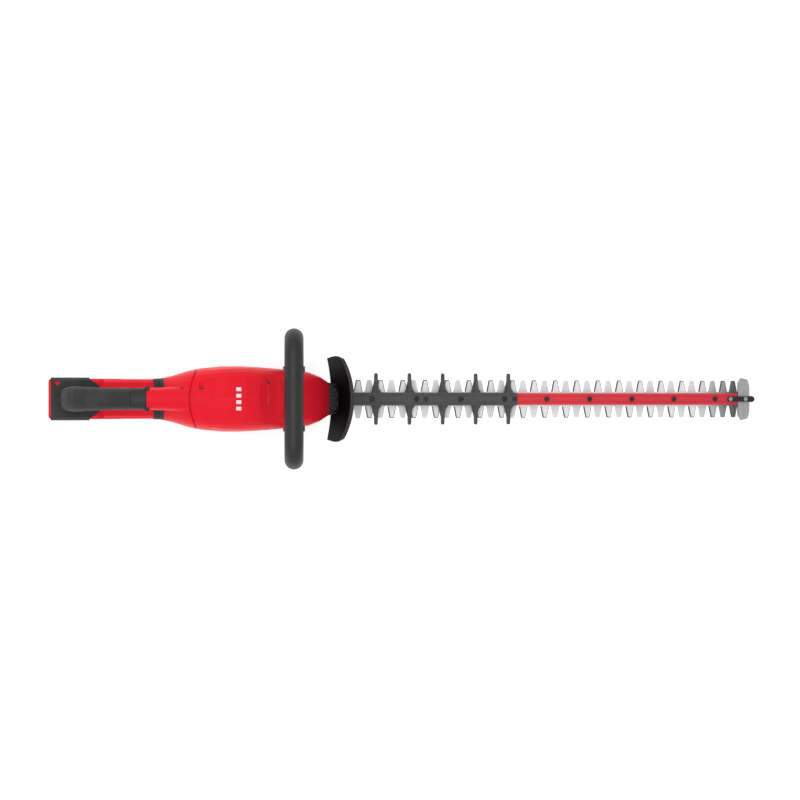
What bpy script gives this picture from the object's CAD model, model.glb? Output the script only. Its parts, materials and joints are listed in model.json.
"""Cordless hedge trimmer: materials, smooth housings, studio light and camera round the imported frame."""
import json
import math

import bpy
from mathutils import Matrix, Vector
from mathutils.bvhtree import BVHTree


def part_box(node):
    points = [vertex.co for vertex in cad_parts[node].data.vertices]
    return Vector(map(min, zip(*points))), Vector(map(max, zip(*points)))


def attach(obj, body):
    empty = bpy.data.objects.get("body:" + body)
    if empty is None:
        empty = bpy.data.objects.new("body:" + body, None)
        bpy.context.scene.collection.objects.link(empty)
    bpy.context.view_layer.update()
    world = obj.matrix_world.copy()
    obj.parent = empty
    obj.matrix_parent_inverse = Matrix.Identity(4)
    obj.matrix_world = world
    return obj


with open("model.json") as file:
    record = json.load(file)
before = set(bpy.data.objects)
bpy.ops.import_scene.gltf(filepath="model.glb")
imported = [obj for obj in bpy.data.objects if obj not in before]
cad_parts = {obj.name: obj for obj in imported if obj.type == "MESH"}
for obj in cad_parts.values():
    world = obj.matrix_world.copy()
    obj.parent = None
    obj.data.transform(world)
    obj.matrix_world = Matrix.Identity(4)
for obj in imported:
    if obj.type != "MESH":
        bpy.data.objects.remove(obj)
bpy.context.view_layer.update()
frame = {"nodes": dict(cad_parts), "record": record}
NODES = frame["nodes"]
SLOT_OF = {s["node"]: s["material_slot"] for s in frame["record"]["subparts"]}

MM = 0.001

# Seam between the motor housing and the handle housing, an arc seen from above
SEAM_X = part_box("motor_housing_left")[0].x
SEAM_RADIUS = 74 * MM
SEAM_HALF_TURN = math.radians(33.5)
SEAM_WIDTH = 2.4 * MM
SEAM_TOP_Z, SEAM_LOW_Z = 139 * MM, 45 * MM
SEAM_SIDE_OFFSET = 12 * MM
SEAM_SAMPLE_OFFSET = 0.8 * MM

# Crease along each shoulder of the motor housing
CREASE_START_X, CREASE_RUN = -316 * MM, 90 * MM
CREASE_START_Z, CREASE_RISE, CREASE_DROP = 127 * MM, 6 * MM, 17 * MM

# Rolled lines on the red bar
BAR_LINE_Y = 4 * MM

# Studio
KEY_POWER = 18
STRIP_POWER = 2.5
WORLD_STRENGTH = 0.62
FLOOR_GLOW = 0.5
FLOOR_HALF = 30.0


# ---- materials ----

class Shader:
    """A node tree with short ways to add and link nodes."""

    def __init__(self, name):
        self.material = bpy.data.materials.new(name)
        self.material.use_nodes = True
        self.tree = self.material.node_tree
        self.bsdf = self.tree.nodes["Principled BSDF"]
        coords = self.tree.nodes.new("ShaderNodeTexCoord")
        self.where = coords.outputs["Object"]

    def node(self, kind, **settings):
        n = self.tree.nodes.new(kind)
        for key, value in settings.items():
            setattr(n, key, value)
        return n

    def link(self, a, b):
        self.tree.links.new(a, b)

    def stretched(self, scale):
        """Object coordinates in metres, scaled per axis."""
        n = self.node("ShaderNodeMapping")
        n.inputs["Scale"].default_value = scale
        self.link(self.where, n.inputs["Vector"])
        return n.outputs["Vector"]

    def noise(self, scale, detail=4.0, rough=0.6, vector=None):
        n = self.node("ShaderNodeTexNoise")
        n.inputs["Scale"].default_value = scale
        n.inputs["Detail"].default_value = detail
        n.inputs["Roughness"].default_value = rough
        self.link(vector or self.where, n.inputs["Vector"])
        return n.outputs["Fac"]

    def remap(self, value, low, high, to_low, to_high):
        n = self.node("ShaderNodeMapRange")
        for key, v in zip(("From Min", "From Max", "To Min", "To Max"), (low, high, to_low, to_high)):
            n.inputs[key].default_value = v
        self.link(value, n.inputs["Value"])
        return n.outputs["Result"]

    def mix(self, factor, a, b):
        n = self.node("ShaderNodeMix", data_type="RGBA")
        self.link(factor, n.inputs["Factor"])
        for socket, value in ((n.inputs["A"], a), (n.inputs["B"], b)):
            if isinstance(value, tuple):
                socket.default_value = (*value, 1.0)
            else:
                self.link(value, socket)
        return n.outputs["Result"]

    def edges(self, radius):
        """0 on flat ground, rising to 1 on sharp edges."""
        bevel = self.node("ShaderNodeBevel", samples=4)
        bevel.inputs["Radius"].default_value = radius
        geometry = self.node("ShaderNodeNewGeometry")
        dot = self.node("ShaderNodeVectorMath", operation="DOT_PRODUCT")
        self.link(bevel.outputs["Normal"], dot.inputs[0])
        self.link(geometry.outputs["Normal"], dot.inputs[1])
        return self.remap(dot.outputs["Value"], 0.99, 0.88, 0.0, 1.0)

    def bump(self, height, distance, strength=1.0):
        n = self.node("ShaderNodeBump")
        n.inputs["Strength"].default_value = strength
        n.inputs["Distance"].default_value = distance
        self.link(height, n.inputs["Height"])
        self.link(n.outputs["Normal"], self.bsdf.inputs["Normal"])


def plastic(name, base, worn, rough, grain=1400.0, depth=0.00006, shine=0.4, spread=0.10):
    """Moulded plastic: fine spark texture, faint shade drift, scuffed edges."""
    s = Shader(name)
    drift = s.noise(9.0, 3.0)
    speck = s.noise(grain, 2.0, 0.5)
    dark = tuple(c * (1 - spread) for c in base)
    light = tuple(min(1.0, c * (1 + spread)) for c in base)
    ground = s.mix(s.remap(drift, 0.35, 0.65, 0.0, 1.0), dark, light)
    wear = s.edges(0.0007)
    patch = s.remap(s.noise(70.0, 5.0, 0.7), 0.45, 0.7, 0.0, 0.55)
    both = s.node("ShaderNodeMath", operation="MULTIPLY")
    s.link(wear, both.inputs[0])
    s.link(patch, both.inputs[1])
    s.link(s.mix(both.outputs[0], ground, worn), s.bsdf.inputs["Base Color"])
    s.link(s.remap(speck, 0.3, 0.7, rough - 0.05, rough + 0.07), s.bsdf.inputs["Roughness"])
    s.bsdf.inputs["Specular IOR Level"].default_value = shine
    s.bump(speck, depth)
    return s.material


def rubber(name, base, worn):
    """Soft grip skin: pebbled, dusty on its high spots."""
    s = Shader(name)
    cells = s.node("ShaderNodeTexVoronoi", feature="SMOOTH_F1")
    cells.inputs["Scale"].default_value = 620.0
    s.link(s.where, cells.inputs["Vector"])
    dust = s.remap(s.noise(26.0, 6.0, 0.7), 0.45, 0.75, 0.0, 0.35)
    s.link(s.mix(dust, base, worn), s.bsdf.inputs["Base Color"])
    s.link(s.remap(cells.outputs["Distance"], 0.0, 0.8, 0.62, 0.8), s.bsdf.inputs["Roughness"])
    s.bump(cells.outputs["Distance"], 0.00016)
    return s.material


def shield_plastic(name, rim, hollow):
    """Moulded plastic of the hand guard, matt and nearly black on the hollow side that faces the user."""
    s = Shader(name)
    parts = s.node("ShaderNodeSeparateXYZ")
    s.link(s.node("ShaderNodeNewGeometry").outputs["Normal"], parts.inputs[0])
    facing = s.remap(parts.outputs["X"], -0.7, -0.3, 1.0, 0.0)
    speck = s.noise(1400.0, 2.0, 0.5)
    s.link(s.mix(facing, rim, hollow), s.bsdf.inputs["Base Color"])
    s.bsdf.inputs["Specular IOR Level"].default_value = 0.03
    s.link(s.remap(speck, 0.3, 0.7, 0.44, 0.56), s.bsdf.inputs["Roughness"])
    s.bump(speck, 0.00006)
    return s.material


def blade_steel(name, base, ground_edge, rough, tip):
    """Rolled blade steel: fine lines along it, stains, ground bevels, resin on the last teeth."""
    s = Shader(name)
    lines = s.noise(900.0, 3.0, 0.6, s.stretched((0.05, 1, 1)))
    stain = s.noise(24.0, 6.0, 0.65)
    flat = s.mix(s.remap(lines, 0.3, 0.7, 0.0, 1.0), tuple(c * 0.86 for c in base), base)
    stained = s.mix(s.remap(stain, 0.5, 0.8, 0.0, 0.35), flat, tuple(c * 0.6 for c in base))
    geometry = s.node("ShaderNodeNewGeometry")
    parts = s.node("ShaderNodeSeparateXYZ")
    s.link(geometry.outputs["True Normal"], parts.inputs[0])
    level = s.node("ShaderNodeMath", operation="ABSOLUTE")
    s.link(parts.outputs["Z"], level.inputs[0])
    ground = s.remap(level.outputs[0], 0.9, 0.97, 1.0, 0.0)
    place = s.node("ShaderNodeSeparateXYZ")
    s.link(s.where, place.inputs[0])
    resin = s.remap(place.outputs["X"], tip - 0.085, tip - 0.025, 0.0, 0.92)
    worked = s.mix(resin, stained, (0.055, 0.055, 0.055))
    s.link(s.mix(ground, worked, ground_edge), s.bsdf.inputs["Base Color"])
    s.bsdf.inputs["Metallic"].default_value = 0.15
    s.link(s.remap(lines, 0.2, 0.8, rough - 0.06, rough + 0.1), s.bsdf.inputs["Roughness"])
    s.bump(lines, 0.00002)
    return s.material


def steel(name, base, dark, rough, along=(1.0, 1.0, 1.0), grain=900.0, metal=1.0):
    """Ground or turned steel: fine lines along one direction, stains, bright edges."""
    s = Shader(name)
    lines = s.noise(grain, 3.0, 0.6, s.stretched(along))
    stain = s.noise(32.0, 6.0, 0.65)
    ground = s.mix(s.remap(lines, 0.3, 0.7, 0.0, 1.0), dark, base)
    stained = s.mix(s.remap(stain, 0.55, 0.8, 0.0, 0.35), ground, dark)
    bright = tuple(min(1.0, c * 1.25) for c in base)
    s.link(s.mix(s.edges(0.0004), stained, bright), s.bsdf.inputs["Base Color"])
    s.bsdf.inputs["Metallic"].default_value = metal
    s.link(s.remap(lines, 0.2, 0.8, rough - 0.08, rough + 0.1), s.bsdf.inputs["Roughness"])
    s.bump(lines, 0.00002)
    return s.material


def paint(name, base, chip, rough):
    """Painted metal: orange-peel, chips along the edges."""
    s = Shader(name)
    peel = s.noise(480.0, 2.0, 0.4)
    chips = s.node("ShaderNodeMath", operation="MULTIPLY")
    s.link(s.edges(0.0005), chips.inputs[0])
    s.link(s.remap(s.noise(220.0, 5.0, 0.7), 0.52, 0.6, 0.0, 0.8), chips.inputs[1])
    tone = s.mix(s.remap(s.noise(14.0), 0.35, 0.65, 0.0, 1.0), tuple(c * 0.88 for c in base), base)
    s.link(s.mix(chips.outputs[0], tone, chip), s.bsdf.inputs["Base Color"])
    s.link(s.remap(peel, 0.3, 0.7, rough - 0.04, rough + 0.08), s.bsdf.inputs["Roughness"])
    s.bump(peel, 0.00004)
    return s.material


RED = (0.83, 0.015, 0.031)
PALE_RED = (0.9, 0.22, 0.22)
BLACK = (0.019, 0.019, 0.020)
GREY_WEAR = (0.13, 0.13, 0.135)

TIP_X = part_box("tip_plate")[1].x

MATERIALS = {
    "blade_steel_upper": blade_steel("upper_blade_steel", (0.95, 0.95, 0.95), (0.10, 0.10, 0.10), 0.5, TIP_X),
    "blade_steel_lower": blade_steel("lower_blade_steel", (0.88, 0.88, 0.88), (0.52, 0.52, 0.52), 0.5, TIP_X),
    "red_metal": paint("red_bar_paint", (0.76, 0.030, 0.050), (0.55, 0.5, 0.48), 0.34),
    "black_steel": paint("black_bolt_finish", (0.02, 0.02, 0.022), (0.3, 0.3, 0.3), 0.42),
    "tip_steel": steel("tip_steel", (0.60, 0.60, 0.60), (0.46, 0.46, 0.46), 0.5, (1, 0.05, 1)),
    "black_plastic": plastic("black_moulding", BLACK, GREY_WEAR, 0.48),
    "comb_plastic": plastic("comb_moulding", (0.070, 0.070, 0.072), (0.2, 0.2, 0.2), 0.5),
    "red_plastic": plastic("red_moulding", RED, PALE_RED, 0.34, shine=0.05, spread=0.05),
    "soft_rubber": rubber("grip_rubber", (0.018, 0.018, 0.019), (0.075, 0.075, 0.075)),
    "cast_alloy": paint("gearcase_coat", (0.035, 0.035, 0.038), (0.5, 0.5, 0.5), 0.5),
    "bright_alloy": steel("bright_alloy", (0.82, 0.83, 0.85), (0.66, 0.67, 0.69), 0.36),
    "gear_steel": steel("gear_steel", (0.60, 0.61, 0.63), (0.42, 0.43, 0.45), 0.34),
    "bearing_steel": steel("bearing_steel", (0.86, 0.86, 0.87), (0.74, 0.74, 0.76), 0.2),
    "magnet_steel": steel("magnet_steel", (0.32, 0.32, 0.34), (0.2, 0.2, 0.22), 0.46, (1, 1, 0.05)),
    "copper_wire": steel("copper_wire", (0.80, 0.42, 0.22), (0.55, 0.26, 0.13), 0.3, (1, 1, 0.1)),
    "circuit_board": plastic("circuit_board", (0.02, 0.16, 0.06), (0.3, 0.3, 0.1), 0.4),
    "cell_wrap": plastic("cell_wrap", (0.04, 0.14, 0.34), (0.3, 0.4, 0.5), 0.3),
    "contact_brass": steel("contact_brass", (0.85, 0.65, 0.28), (0.6, 0.42, 0.16), 0.28),
    "pale_print": plastic("pale_print", (0.86, 0.84, 0.84), (0.6, 0.5, 0.5), 0.45, spread=0.03),
    "groove": plastic("groove_shadow", (0.60, 0.003, 0.010), (0.62, 0.01, 0.01), 0.6, shine=0.05),
    "crease": plastic("crease_light", (0.92, 0.34, 0.36), (0.95, 0.4, 0.4), 0.4, shine=0.2),
    "bar_groove": plastic("bar_groove", (0.50, 0.012, 0.022), (0.55, 0.03, 0.04), 0.5, shine=0.2),
    "guard": shield_plastic("guard_moulding", (0.050, 0.050, 0.051), (0.003, 0.003, 0.003)),
    "wire_red": plastic("wire_insulation", (0.45, 0.02, 0.02), (0.6, 0.2, 0.2), 0.4),
}


def finish_node(obj, slot):
    """Puts the finished material on a CAD node and smooths its shading below sharp edges."""
    obj.data.materials.clear()
    obj.data.materials.append(MATERIALS[slot])
    obj.data.polygons.foreach_set("use_smooth", [True] * len(obj.data.polygons))
    obj.data.set_sharp_from_angle(angle=math.radians(32))
    bevel = obj.modifiers.new("edges", "BEVEL")
    bevel.width = 0.3 * MM
    bevel.segments = 2
    bevel.limit_method = "ANGLE"
    bevel.angle_limit = math.radians(40)
    bevel.harden_normals = True
    bevel.use_clamp_overlap = True


def darken_column_end(obj):
    """Gives the steep end of the column, which the soft grip only just reaches, the grip's own finish."""
    end_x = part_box("grip_overmould")[0].x + 4 * MM
    half_width = 14 * MM
    low_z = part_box("foot_cover")[0].z + 12 * MM
    obj.data.materials.append(MATERIALS["soft_rubber"])
    for face in obj.data.polygons:
        at = face.center
        if at.x < end_x and abs(at.y) < half_width and at.z > low_z:
            face.material_index = 1


OWN_FINISH = {"hand_guard": "guard"}
for node, obj in NODES.items():
    finish_node(obj, OWN_FINISH.get(node, SLOT_OF[node]))
for node in ("handle_shell_left", "handle_shell_right"):
    darken_column_end(NODES[node])


# ---- fine lines on the housings ----

def drop_on(tree, x, y):
    """Highest point of the housings under (x, y), with its normal."""
    return tree.ray_cast(Vector((x, y, 0.5)), Vector((0, 0, -1)))[:2]


def side_on(tree, x, z, side):
    """Outermost point of the housings at (x, z) on one side, with its normal."""
    return tree.ray_cast(Vector((x, side * 0.3, z)), Vector((0, -side, 0)))[:2]


def line_strip(name, hits, width, lift, finish="groove"):
    """A thin line that hugs the surface through the hit points: a flat-bottomed sliver with closed sides."""
    points = [(p, n) for p, n in hits if p is not None]
    rings = []
    for i, (p, n) in enumerate(points):
        ahead = points[min(i + 1, len(points) - 1)][0] - points[max(i - 1, 0)][0]
        across = ahead.cross(n).normalized() * width / 2
        up = n * lift
        rings.append([p - across + up, p + across + up, p + across - up, p - across - up])
    verts = [v for ring in rings for v in ring]
    faces = [(4 * i + k, 4 * i + (k + 1) % 4, 4 * i + 4 + (k + 1) % 4, 4 * i + 4 + k)
             for i in range(len(rings) - 1) for k in range(4)]
    faces += [(3, 2, 1, 0), tuple(4 * (len(rings) - 1) + k for k in range(4))]
    mesh = bpy.data.meshes.new(name)
    mesh.from_pydata([tuple(v) for v in verts], [], faces)
    mesh.update()
    obj = bpy.data.objects.new(name, mesh)
    bpy.context.scene.collection.objects.link(obj)
    mesh.materials.append(MATERIALS[finish])
    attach(obj, "chassis")
    return obj


def housing_tree():
    """All four housing shells as one surface to lay lines on."""
    verts, polygons = [], []
    for node in ("motor_housing_left", "motor_housing_right", "handle_shell_left", "handle_shell_right"):
        mesh = NODES[node].data
        start = len(verts)
        verts += [v.co.copy() for v in mesh.vertices]
        polygons += [[start + i for i in p.vertices] for p in mesh.polygons]
    return BVHTree.FromPolygons(verts, polygons)


def seam_at(y):
    """X of the seam at width y."""
    return SEAM_X + SEAM_RADIUS - math.sqrt(SEAM_RADIUS ** 2 - y ** 2)


def seam_lines(tree):
    """Dark shadow gap along the curved seam between the motor housing and the handle housing."""
    hits = []
    steps = 72
    for i in range(steps + 1):
        y = SEAM_RADIUS * math.sin(SEAM_HALF_TURN * (2 * i / steps - 1))
        x = seam_at(y)
        point, normal = drop_on(tree, x + SEAM_SAMPLE_OFFSET, y)
        hits.append((Vector((x, y, point.z)), normal))
    line_strip("seam_top", hits, SEAM_WIDTH, 0.15 * MM)
    steps = 35
    for side, name in ((1, "seam_left"), (-1, "seam_right")):
        hits = []
        for i in range(steps + 1):
            z = SEAM_TOP_Z + (SEAM_LOW_Z - SEAM_TOP_Z) * i / steps
            point = side_on(tree, SEAM_X + SEAM_SIDE_OFFSET, z, side)[0]
            if point is not None:
                hits.append(side_on(tree, seam_at(point.y), z, side))
        line_strip(name, hits, SEAM_WIDTH, 0.12 * MM)


def shoulder_lines(tree):
    """Crease down each shoulder of the motor housing, where the light catches."""
    steps = 40
    for side, name in ((1, "shoulder_left"), (-1, "shoulder_right")):
        hits = []
        for i in range(steps + 1):
            part = i / steps
            x = CREASE_START_X + CREASE_RUN * part
            z = CREASE_START_Z + CREASE_RISE * math.sin(math.pi * part) - CREASE_DROP * part
            hits.append(side_on(tree, x, z, side))
        line_strip(name, hits, 1.0 * MM, 0.12 * MM, "crease")


def bar_lines():
    """Two shallow rolled lines along the top of the red bar."""
    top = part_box("blade_bar")[1].z
    start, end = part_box("comb_guard")[1].x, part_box("tip_keel")[0].x
    for y, name in ((BAR_LINE_Y, "bar_line_left"), (-BAR_LINE_Y, "bar_line_right")):
        hits = [(Vector((x, y, top)), Vector((0, 0, 1))) for x in (start, (start + end) / 2, end)]
        line = line_strip(name, hits, 0.7 * MM, 0.05 * MM, "bar_groove")


housings = housing_tree()
seam_lines(housings)
shoulder_lines(housings)
bar_lines()


# ---- studio ----

def area_light(name, place, size, power, target=(0.0, 0.0, 0.05)):
    light = bpy.data.lights.new(name, "AREA")
    light.shape = "RECTANGLE"
    light.size, light.size_y = size
    light.energy = power
    obj = bpy.data.objects.new(name, light)
    obj.location = place
    obj.rotation_euler = (Vector(target) - Vector(place)).to_track_quat("-Z", "Y").to_euler()
    bpy.context.scene.collection.objects.link(obj)


def make_floor():
    mesh = bpy.data.meshes.new("floor")
    corners = [(-FLOOR_HALF, -FLOOR_HALF, 0), (FLOOR_HALF, -FLOOR_HALF, 0),
               (FLOOR_HALF, FLOOR_HALF, 0), (-FLOOR_HALF, FLOOR_HALF, 0)]
    mesh.from_pydata(corners, [], [(0, 1, 2, 3)])
    floor = bpy.data.objects.new("floor", mesh)
    floor.location.z = -0.0005
    s = Shader("floor_paper")
    s.link(s.mix(s.noise(3.0), (0.93, 0.93, 0.93), (0.95, 0.95, 0.95)), s.bsdf.inputs["Base Color"])
    s.bsdf.inputs["Roughness"].default_value = 0.9
    s.bsdf.inputs["Specular IOR Level"].default_value = 0.1
    s.bsdf.inputs["Emission Color"].default_value = (1, 1, 1, 1)
    s.bsdf.inputs["Emission Strength"].default_value = FLOOR_GLOW
    mesh.materials.append(s.material)
    bpy.context.scene.collection.objects.link(floor)


def make_world():
    world = bpy.data.worlds.new("studio")
    world.use_nodes = True
    background = world.node_tree.nodes["Background"]
    background.inputs["Color"].default_value = (1, 1, 1, 1)
    background.inputs["Strength"].default_value = WORLD_STRENGTH
    bpy.context.scene.world = world


def make_camera():
    tilt = math.radians(12)
    away = 2.567
    look_at = Vector((-0.0234, -0.0015, 0.030))
    forward = Vector((math.sin(tilt), 0, -math.cos(tilt)))
    camera = bpy.data.objects.new("camera", bpy.data.cameras.new("camera"))
    camera.data.lens = 77.2
    camera.data.sensor_width = 36
    camera.location = look_at - away * forward
    up = Vector((0, 1, 0))
    right = forward.cross(up)
    camera.rotation_euler = Matrix((right, up, -forward)).transposed().to_euler()
    bpy.context.scene.collection.objects.link(camera)
    bpy.context.scene.camera = camera


make_floor()
make_world()
area_light("key", (-0.9, 0.0, 2.2), (1.6, 1.6), KEY_POWER)
area_light("left_strip", (0.0, 1.5, 1.3), (2.4, 0.5), STRIP_POWER)
area_light("right_strip", (0.0, -1.5, 1.3), (2.4, 0.5), STRIP_POWER)
make_camera()
bpy.context.scene.view_settings.view_transform = "Standard"
